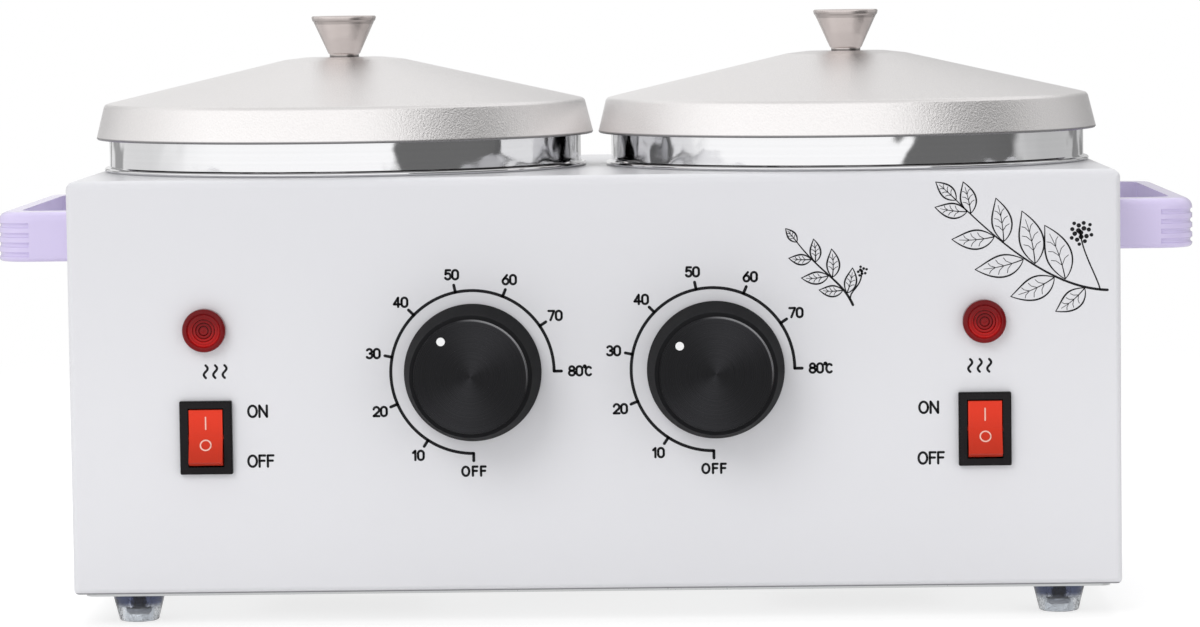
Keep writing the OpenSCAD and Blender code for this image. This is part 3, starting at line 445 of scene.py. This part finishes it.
def redLens(name, centre, look):
    # clear red cap with painted light and shade: painted shade in its rim, its heart and its pressed rings, a sine of
    # the distance from the middle, and a painted glow where light gathers low in the dome
    lens = finish(name)
    across = lens.reach(lens.place(centre, (1, 0, 1)))
    rings = (across * look["ringPitch"]).maths("SINE") * 0.5 + 0.5
    inside = 1 - across.rising(look["dish"], look["dish"] + look["rimEdge"])
    heart = 1 - across.rising(look["heart"], look["heart"] + look["heartEdge"])
    low = (0 - lens.parts(lens.place(centre))[2]).rising(*look["low"])
    # painted glow low in the dome, painted shade in the rim, the rings and the heart
    glow = (low * look["gather"] + (1 - look["gather"])) * (1 - (1 - inside) * look["rimShade"])
    glow = glow * (1 - rings * inside * look["ringShade"]) * (1 - heart * look["heartShade"])
    return lens.surface(baseColor=lens.tint(glow, look["deep"], look["bright"]), roughness=rings * 0.06 + 0.07,
                        normal=lens.bump(rings * inside, 0.35, 0.0003),
                        specularIorLevel=0.16, coatWeight=0.05, coatRoughness=0.04)


lensLook = {
    "deep": (0.13, 0.004, 0.006), "bright": (0.55, 0.0085, 0.007), "low": (-0.004, 0.005), "gather": 0.8,
    "ringPitch": 6980.0, "ringShade": 0.4, "dish": 0.0043, "rimEdge": 0.0008, "rimShade": 0.85,
    "heart": 0.0019, "heartEdge": 0.0012, "heartShade": 0.5,
}


def dialDisc(name, centre, radius, look):
    # anodised disc turned on a lathe: fine rings round the dial's axis, two soft wedges of painted reflection, the
    # cosine of twice the turn, and a painted highlight, a thin bright arc along the edge
    disc = finish(name)
    across = disc.reach(disc.place(centre, (1, 0, 1)))
    x, y, z = disc.parts(disc.place(centre))
    turn = x.maths("ARCTAN2", z)
    # painted reflection: two soft light wedges
    reflectionWedge = ((turn - look["wedgeTurn"]) * 2).maths("COSINE") * 0.5 + 0.5
    rings = disc.lineNoise(across, look["rings"], 4)
    light = rings * (1 - look["wedgeShare"]) + reflectionWedge.maths("POWER", look["wedgePower"]) * look["wedgeShare"]
    # painted highlight: a thin bright arc along the edge
    glintStart, glintEnd = look["arc"]
    rim = across.rising(radius - look["rim"], radius - look["rim"] + 0.0002)
    arc = rim * turn.rising(*glintStart) * (1 - turn.rising(*glintEnd))
    colour = disc.tint(arc, disc.tint(light, look["colour"], look["shade"]), look["arcColour"])
    return disc.surface(baseColor=colour, metallic=0.85, roughness=rings * 0.1 + look["roughness"],
                        normal=disc.bump(rings, look["bump"], 0.0001))


discLook = {
    "colour": (0.009, 0.009, 0.010), "shade": (0.029, 0.029, 0.032), "roughness": 0.22, "rings": 5000.0, "bump": 0.8,
    "wedgeTurn": 0.28, "wedgePower": 1.6, "wedgeShare": 0.75,
    # the arc is a painted highlight along the edge
    "rim": 0.0006, "arc": ((-0.3, 0.3), (1.3, 1.9)), "arcColour": (0.26, 0.26, 0.27),
}


def fibre(name, look):
    # matted or woven fibre: stretched noise over a coarser one
    cloth = finish(name)
    strands = cloth.noise(cloth.place(scale=look["stretch"]), look["strands"], detail=4, roughness=0.65)
    lumps = cloth.noise(cloth.place(), look["lumps"], detail=3)
    return cloth.surface(baseColor=cloth.tint(strands * 0.6 + lumps * 0.4, look["colour"], look["shade"]),
                         roughness=strands * 0.1 + 0.8, sheenWeight=0.15,
                         normal=cloth.bump(strands, 0.8, 0.0004, cloth.bump(lumps, 0.6, 0.001)))


fibreLooks = {
    "mineral_wool": {
        "colour": (0.62, 0.56, 0.40), "shade": (0.86, 0.82, 0.68), "strands": 500, "lumps": 120, "stretch": (1, 1, 4)},
    "lead_sleeving": {
        "colour": (0.30, 0.10, 0.05), "shade": (0.50, 0.22, 0.12), "strands": 1600, "lumps": 900, "stretch": (1, 1, 1)},
}


def joined(slot):
    # a slot's words as one name
    return slot.replace("_", " ").title().replace(" ", "")


# one finish for each slot, and one for each side where rings turn about the side's own axis
finishes = {"white_enamel": powderCoat(coatLook)}
for make, looks in ((mouldedPlastic, plasticLooks), (plainMetal, metalLooks), (fibre, fibreLooks)):
    finishes.update({slot: make(joined(slot), look) for slot, look in looks.items()})
sideFinishes = {}
for side in sides:
    for slot, look in turnedLooks.items():
        sideFinishes[side, slot] = turnedMetal(side + joined(slot), potCentres[side], look)
    sideFinishes[side, "red_lens"] = redLens(side + "RedLens", lampCentres[side], lensLook)
    sideFinishes[side, "black_aluminium"] = dialDisc(side + "DialDisc", dialCentres[side], capRadius, discLook)

for name, piece in nodes.items():
    side = name.split("_")[0]
    piece.data.materials.clear()
    piece.data.materials.append(sideFinishes.get((side, slotOf[name])) or finishes[slotOf[name]])
print("finishes on", len(nodes), "nodes")


def addPiece(name, points, faces, material, body, smooth=False):
    # a mesh from an array of points and one of faces, its doubles merged, riding on a body
    mesh = bpy.data.meshes.new(name)
    mesh.from_pydata(np.asarray(points).tolist(), [], np.asarray(faces).tolist())
    work = bmesh.new()
    work.from_mesh(mesh)
    bmesh.ops.remove_doubles(work, verts=work.verts, dist=1e-7)
    work.to_mesh(mesh)
    work.free()
    mesh.polygons.foreach_set("use_smooth", [smooth] * len(mesh.polygons))
    mesh.materials.append(material)
    piece = bpy.data.objects.new(name, mesh)
    bpy.context.scene.collection.objects.link(piece)
    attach(piece, body)
    return piece


def gridFaces(rows, columns, closed=False):
    # one four-sided face for each cell of a grid of points, joined end to end where it is closed
    row, column = np.meshgrid(np.arange(rows - 1), np.arange(columns if closed else columns - 1), indexing="ij")
    following = (column + 1) % columns
    faces = np.stack([row * columns + column, row * columns + following,
                      (row + 1) * columns + following, (row + 1) * columns + column], axis=-1)
    return faces.reshape(-1, 4)


def arcLine(centre, radii, start, end, count=20):
    # points on an ellipse: the centre plus the radii times cosine and sine of an angle in degrees
    turn = np.radians(np.linspace(start, end, count))
    return np.stack([centre[0] + radii[0] * np.cos(turn), centre[1] + radii[1] * np.sin(turn)], axis=1)


def unitSteps(path):
    # the direction of each stretch of a path, one unit long
    step = np.diff(path, axis=0)
    return step / np.linalg.norm(step, axis=1, keepdims=True)


# ink strokes: the steps of a round end in degrees, the cosine of the sharpest bend in one stroke, and how far a bend
# may widen it, as the least cosine of half the bend
strokeLook = {"cap": (84, 60, 30), "corner": 0.7, "mitre": 0.6}


def straights(path):
    # the stretches of a path between its sharp corners
    path = np.asarray(path, float)
    step = unitSteps(path)
    sharp = np.flatnonzero((step[1:] * step[:-1]).sum(axis=1) < strokeLook["corner"]) + 1
    return [path[first:last + 1] for first, last in zip([0, *sharp], [*sharp, len(path) - 1])]


def stroke(path, width):
    # a strip along a path: each point moved half the width to either side, square to the mean of the directions
    # before and after it, with round ends
    path = np.asarray(path, float)
    widths = np.full(len(path), width, float) if np.isscalar(width) else np.asarray(width, float)
    step = unitSteps(path)
    cap = np.radians(strokeLook["cap"])
    head = path[0] - np.outer(np.sin(cap), step[0]) * widths[0] / 2
    tail = path[-1] + np.outer(np.sin(cap[::-1]), step[-1]) * widths[-1] / 2
    widths = np.concatenate([widths[0] * np.cos(cap), widths, widths[-1] * np.cos(cap[::-1])])
    path = np.vstack([head, path, tail])
    step = unitSteps(path)
    before, after = np.vstack([step[:1], step]), np.vstack([step, step[-1:]])
    mean = before + after
    mean /= np.linalg.norm(mean, axis=1, keepdims=True)
    half = widths / 2 / np.clip((mean * after).sum(axis=1), strokeLook["mitre"], 1)
    across = np.stack([-mean[:, 1], mean[:, 0]], axis=1) * half[:, None]
    return np.stack([path - across, path + across], axis=1)


# strokes of each sign on a cap height of 1: its width, then its paths
signs = {
    "0": (0.62, [arcLine((0.31, 0.69), (0.31, 0.31), 0, 180), arcLine((0.31, 0.31), (0.31, 0.31), 180, 360),
                 [(0, 0.69), (0, 0.31)], [(0.62, 0.31), (0.62, 0.69)]]),
    "1": (0.36, [[(0.02, 0.78), (0.26, 1), (0.26, 0)]]),
    "2": (0.62, [np.vstack([arcLine((0.31, 0.69), (0.3, 0.31), 170, -38), [(0.0, 0.0), (0.62, 0.0)]])]),
    "3": (0.6, [np.vstack([arcLine((0.29, 0.74), (0.27, 0.26), 150, -78),
                           arcLine((0.29, 0.27), (0.31, 0.27), 78, -150)])]),
    "4": (0.64, [[(0.46, 0), (0.46, 1), (0, 0.28), (0.64, 0.28)]]),
    "5": (0.6, [np.vstack([[(0.56, 1), (0.1, 1), (0.05, 0.56)], arcLine((0.29, 0.33), (0.31, 0.33), 128, -150)])]),
    "6": (0.62, [np.vstack([[(0.47, 1)], arcLine((0.31, 0.32), (0.31, 0.32), 152, -208)])]),
    "7": (0.6, [[(0, 1), (0.6, 1), (0.2, 0)]]),
    "8": (0.62, [arcLine((0.31, 0.75), (0.26, 0.25), 0, 360), arcLine((0.31, 0.27), (0.31, 0.27), 0, 360)]),
    "O": (0.76, [arcLine((0.38, 0.5), (0.38, 0.5), 0, 360, 32)]),
    "N": (0.66, [[(0, 0), (0, 1), (0.66, 0), (0.66, 1)]]),
    "F": (0.5, [[(0.5, 1), (0, 1), (0, 0)], [(0, 0.53), (0.44, 0.53)]]),
    "℃": (0.86, [arcLine((0.08, 0.98), (0.09, 0.10), 0, 360), arcLine((0.52, 0.46), (0.34, 0.46), 48, 312, 24)]),
}


def lettering(text, height, centre, gap=0.24):
    # the paths of a line of signs, scaled to a cap height and centred on a point
    width = sum(signs[sign][0] for sign in text) + gap * (len(text) - 1)
    left, paths = -width / 2, []
    for sign in text:
        advance, lines = signs[sign]
        paths += [(part + (left, -0.5)) * height + centre for line in lines for part in straights(line)]
        left += advance + gap
    return paths


def printOn(name, strips, place, body, material):
    # strips in millimetres, put on a surface by a function from (across, up) to a point in metres
    points = np.vstack([strip.reshape(-1, 2) for strip in strips])
    faces, start = [], 0
    for strip in strips:
        faces.append(gridFaces(len(strip), 2)[:, [0, 3, 2, 1]] + start)
        start += 2 * len(strip)
    return addPiece(name, place(points), np.vstack(faces), material, body)


# how far ink stands proud of what it is printed on, in millimetres
inkRise = 0.04


def onFront(points):
    # across and up to X and Z, a hair in front of the housing
    return np.stack([points[:, 0], np.full(len(points), frontY * 1000 - inkRise), points[:, 1]], axis=1) / 1000


# the dial's scale in millimetres and degrees: a bow from OFF at six o'clock round to the highest number at three, with
# the numbers drawn in a little above and below, the wide last one set further out, and the whole moved sideways
scaleLook = {"start": 180, "end": 450, "radius": 23.3, "line": 0.88, "tick": 2.1, "tickLine": 0.85,
             "signs": 28.9, "drawnIn": 0.5, "lastOut": 1.9, "height": 2.6, "ink": 0.68,
             "wordGap": 0.4, "numberGap": 0.2,
             "shift": {"left": -0.15, "right": -0.8}}
scaleSigns = ["OFF", "10", "20", "30", "40", "50", "60", "70", "80℃"]


def dialScale(centre, look):
    # bow, ticks and numbers, each placed by its clockwise angle from twelve o'clock
    def at(turn, radius):
        return np.array([centre[0] + radius * np.sin(np.radians(turn)), centre[1] + radius * np.cos(np.radians(turn))])

    bow = [at(turn, look["radius"]) for turn in np.linspace(look["start"], look["end"], 90)]
    strips = [stroke(bow, look["line"])]
    for turn, text in zip(np.linspace(look["start"], look["end"], len(scaleSigns)), scaleSigns):
        strips.append(stroke([at(turn, look["radius"]), at(turn, look["radius"] + look["tick"])], look["tickLine"]))
        out = look["signs"] - look["drawnIn"] * abs(np.cos(np.radians(turn)))
        spot = at(turn, out + (look["lastOut"] if text == scaleSigns[-1] else 0))
        gap = look["wordGap"] if text == "OFF" else look["numberGap"]
        strips += [stroke(path, look["ink"]) for path in lettering(text, look["height"], spot, gap)]
    return strips


labelLook = {"height": 3.2, "line": 0.68, "wave": 3.6, "waveOut": 0.55, "waveGap": 2.7}
# what stands on the front of each side, in millimetres: ON, OFF and the sign for heat
labelPlaces = {"left": {"ON": (-96.3, 61.8), "OFF": (-95.6, 47.5), "heat": (-108.2, 73.3)},
               "right": {"ON": (95.1, 60.7), "OFF": (95.7, 46.2), "heat": (109.7, 72.5)}}


def controlLabels(places, look):
    # the two words beside the switch and three rising waves, each a sine across its height, under the lamp
    strips = [stroke(path, look["line"]) for word in ("ON", "OFF")
              for path in lettering(word, look["height"], places[word])]
    rise = np.linspace(-0.5, 0.5, 26)
    for shift in (-1, 0, 1):
        swing = look["waveOut"] * np.sin(2 * np.pi * rise)
        path = np.stack([swing + shift * look["waveGap"], rise * look["wave"]], axis=1)
        strips.append(stroke(path + places["heat"], look["line"]))
    return strips


inkLook = {"colour": (0.010, 0.010, 0.012), "shade": (0.016, 0.016, 0.018), "roughness": 0.4, "bump": 0.05,
           "gloss": 0.15}
ink = mouldedPlastic("blackInk", inkLook)
for side in sides:
    centre = (dialCentres[side].x * 1000 + scaleLook["shift"][side], dialCentres[side].z * 1000)
    printOn(side + "DialScale", dialScale(centre, scaleLook), onFront, "base", ink)
    printOn(side + "Labels", controlLabels(labelPlaces[side], labelLook), onFront, "base", ink)
print("dial scales and labels printed")

# leafy sprigs in thin ink lines, in millimetres and degrees: a stem, leaves as place along the stem, turn, length,
# width and curl, and berries on a twig from a place along the stem
sprigLook = {"stemLine": 0.6, "leafLine": 0.4, "ribLine": 0.26, "veinLine": 0.182, "fullness": 0.82,
             "veins": (7, 12, 17), "veinRise": 4, "veinReach": 0.72, "ribEnd": 25, "twigBend": ((-0.5, 3), (0, -5))}
sprigs = {
    "largeSprig": {
        "stem": [(146.1, 93.6), (132.5, 94.1), (118.6, 104.1), (102.7, 120.3)],
        "leaves": [(0.16, -66, 11, 5.2, -26), (0.30, 58, 17, 7.2, 22), (0.36, -62, 14, 6.4, -24),
                   (0.50, 54, 16, 6.8, 20), (0.56, -58, 14.5, 6.2, -22), (0.70, 50, 13, 5.6, 18),
                   (0.76, -54, 12.5, 5.4, -20), (0.90, 40, 9.5, 4.4, 14), (0.93, -44, 9.5, 4.2, -16),
                   (1.0, 0, 8, 3.6, 6)],
        "berries": {"from": 0.06, "to": (138.6, 110.0), "count": 17, "spread": 0.86, "size": 1.45}},
    "smallSprig": {
        "stem": [(73.8, 90.2), (70.8, 97.2), (64.8, 99.2), (57.8, 108.6)],
        "leaves": [(0.18, 60, 7.6, 3.3, 22), (0.24, -62, 7.0, 3.1, -24), (0.46, 56, 8.4, 3.6, 20),
                   (0.52, -58, 8.0, 3.4, -22), (0.74, 50, 6.8, 3.0, 18), (0.78, -52, 6.6, 2.9, -18),
                   (1.0, 0, 5.2, 2.3, 4)],
        "berries": {"from": 0.07, "to": (76.4, 99.8), "count": 9, "spread": 0.52, "size": 0.85}},
}


def bezier(points, count):
    # the cubic curve from the first of four points to the last
    t = np.linspace(0, 1, count)[:, None]
    first, second, third, fourth = np.asarray(points, float)
    return (1 - t) ** 3 * first + 3 * (1 - t) ** 2 * t * second + 3 * (1 - t) * t ** 2 * third + t ** 3 * fourth


def leafLines(base, heading, length, width, curl, look):
    # a bent middle line with half the width times a sine to either side, its midrib and short side veins
    t = np.linspace(0, 1, 30)
    turn = np.radians(heading + curl * t)
    along = np.stack([np.cos(turn), np.sin(turn)], axis=1)
    line = base + np.cumsum(along, axis=0) * length / len(t)
    across = np.stack([-along[:, 1], along[:, 0]], axis=1)
    half = (width / 2 * np.sin(np.pi * t ** look["fullness"]))[:, None]
    swell = look["leafLine"] * (0.6 + 0.6 * np.sin(np.pi * t))
    rib = slice(look["ribEnd"])
    strips = [stroke(line + across * half, swell), stroke(line - across * half, swell),
              stroke(line[rib], look["ribLine"] * (1.3 - 0.9 * t[rib]))]
    for row in look["veins"]:
        end = row + look["veinRise"]
        for way in (-1, 1):
            tip = line[end] + across[end] * half[end] * look["veinReach"] * way
            strips.append(stroke([line[row], (line[(row + end) // 2] + tip) / 2, tip], look["veinLine"]))
    return strips


def sprigLines(sprig, look):
    # the stem with its leaves turned off it to both sides, and a twig whose berries turn outwards by the golden angle,
    # their distance the root of their order
    stem = bezier(sprig["stem"], 60)
    last = len(stem) - 1
    strips = [stroke(stem, look["stemLine"] * np.linspace(1.25, 0.55, len(stem)))]
    for place, turn, length, width, curl in sprig["leaves"]:
        row = min(int(place * last), last - 1)
        heading = np.degrees(np.arctan2(*(stem[row + 1] - stem[row])[::-1]))
        strips += leafLines(stem[row], heading - turn, length, width, curl, look)
    cluster, (leaving, arriving) = sprig["berries"], look["twigBend"]
    base, tip = stem[int(cluster["from"] * last)], np.array(cluster["to"])
    strips.append(stroke(bezier([base, base + leaving, tip + arriving, tip], 20), look["leafLine"]))
    for order in range(cluster["count"]):
        turn, out = np.radians(137.5) * order, cluster["spread"] * order ** 0.5
        spot = tip + (out * np.cos(turn), out * np.sin(turn))
        strips.append(stroke([spot, spot + (0.02, 0)], cluster["size"] * (1 - 0.02 * order)))
    return strips


for name, sprig in sprigs.items():
    printOn(name, sprigLines(sprig, sprigLook), onFront, "base", ink)
print("sprigs printed")

# marks on the rocker in millimetres and degrees: its face is a shallow V, low at the middle, tilted by half its swing
rockerLook = {"endOut": 3.1, "dip": 1.4, "halfHeight": 7.5, "tilt": -11.0, "line": 0.4, "barUp": 3.9, "barHeight": 3.4,
              "ringUp": -2.5, "ringRadius": 1.5}


def onRocker(side, look):
    # up the slope of the V and a hair off it, then turned about the pivot
    length = np.hypot(look["dip"], look["halfHeight"])

    def place(points):
        across, up = points[:, 0], points[:, 1]
        slope, lean = look["dip"] / length, look["halfHeight"] / length
        out = look["dip"] - look["endOut"] - slope * np.abs(up) - lean * inkRise
        rise = lean * up - slope * inkRise * np.sign(up)
        sinTilt, cosTilt = np.sin(np.radians(look["tilt"])), np.cos(np.radians(look["tilt"]))
        turned = np.stack([across, out * cosTilt - rise * sinTilt, out * sinTilt + rise * cosTilt], axis=1) / 1000
        return turned + np.array(rockerPivots[side])
    return place


for side in sides:
    bar = [(0, rockerLook["barUp"] + rockerLook["barHeight"] * rise) for rise in np.linspace(-0.5, 0.5, 5)]
    ring = arcLine((0, rockerLook["ringUp"]), (rockerLook["ringRadius"], rockerLook["ringRadius"]), 0, 360, 40)
    strips = [stroke(bar, rockerLook["line"]), stroke(ring, rockerLook["line"])]
    printOn(side + "RockerMarks", strips, onRocker(side, rockerLook), side + "_switch",
            finishes["pale_mark"])
print("rocker marks printed")

# screws seen from below, in millimetres: cross-slotted pan heads on rolled threads, given by their radii
screwLooks = {
    "base_screws": {"head": 2.8, "height": 1.6, "shank": 1.5, "pitch": 0.6,
                    "slot": 1.5, "slotWidth": 0.55, "slotDepth": 0.9},
    "foot_screws": {"head": 3.7, "height": 2.2, "shank": 2.0, "pitch": 0.7,
                    "slot": 2.0, "slotWidth": 0.7, "slotDepth": 1.2},
}
# what both sizes share: slope of a slot's sides and ends, height of the thread, and the gap that parts two screws
screwMake = {"sideSlope": 0.12, "endSlope": 0.3, "thread": 0.25, "apart": 12}


def nodeCentres(node):
    # each solid of a node: its middle, lowest and highest, in millimetres, found by the gaps between points in plan
    points = np.empty(len(nodes[node].data.vertices) * 3)
    nodes[node].data.vertices.foreach_get("co", points)
    points = points.reshape(-1, 3) * 1000
    centres = []
    while len(points):
        near = np.linalg.norm(points[:, :2] - points[0, :2], axis=1) < screwMake["apart"]
        group = points[near]
        centres.append(((group.min(axis=0) + group.max(axis=0)) / 2, group[:, 2].min(), group[:, 2].max()))
        points = points[~near]
    return centres


def screwSurface(look, bottom, top):
    # rings from the middle of the head out and up: a dome that falls by the fifth power of the distance, less a
    # cross-shaped slot, then a shank with a slanting wave of straight flanks for its thread
    turn = np.linspace(0, 2 * np.pi, 48, endpoint=False)
    out = np.linspace(0.0001, 1, 34)
    radius, angle = np.meshgrid(out * look["head"], turn, indexing="ij")
    x, y = radius * np.cos(angle), radius * np.sin(angle)
    narrow, wide = np.minimum(abs(x), abs(y)), np.maximum(abs(x), abs(y))
    side = np.clip((look["slotWidth"] / 2 - narrow) / screwMake["sideSlope"], 0, 1)
    slot = side * np.clip((look["slot"] - wide) / screwMake["endSlope"], 0, 1)
    dome = look["height"] * (1 - (radius / look["head"]) ** 5) ** 0.5
    z = bottom + look["height"] - dome + slot * look["slotDepth"]
    head = np.stack([x, y, z], axis=-1)
    rise = np.linspace(0, 1, 90)[:, None]
    height = (bottom + look["height"]) * (1 - rise) + (top - 0.01) * rise
    wave = np.abs((height / look["pitch"] - angle[:1] / (2 * np.pi)) % 1 - 0.5) * 2
    ring = look["shank"] - screwMake["thread"] * wave * np.clip(rise * 12, 0, 1)
    shank = np.stack([ring * np.cos(angle[:1]), ring * np.sin(angle[:1]), height + 0 * ring], axis=-1)
    tip = np.stack([0 * turn, 0 * turn, np.full_like(turn, top)], axis=-1)[None]
    return np.concatenate([head, shank, tip])


for node, look in screwLooks.items():
    points, faces, start = [], [], 0
    for centre, low, high in nodeCentres(node):
        shape = (screwSurface(look, low, high) + (centre[0], centre[1], 0)) / 1000
        points.append(shape.reshape(-1, 3))
        faces.append(gridFaces(*shape.shape[:2], closed=True)[:, ::-1] + start)
        start += shape.shape[0] * shape.shape[1]
    made = addPiece(node.replace("_s", "S") + "Detailed", np.vstack(points), np.vstack(faces),
                    finishes[slotOf[node]], "base", True)
    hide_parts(node)
print("screws made")
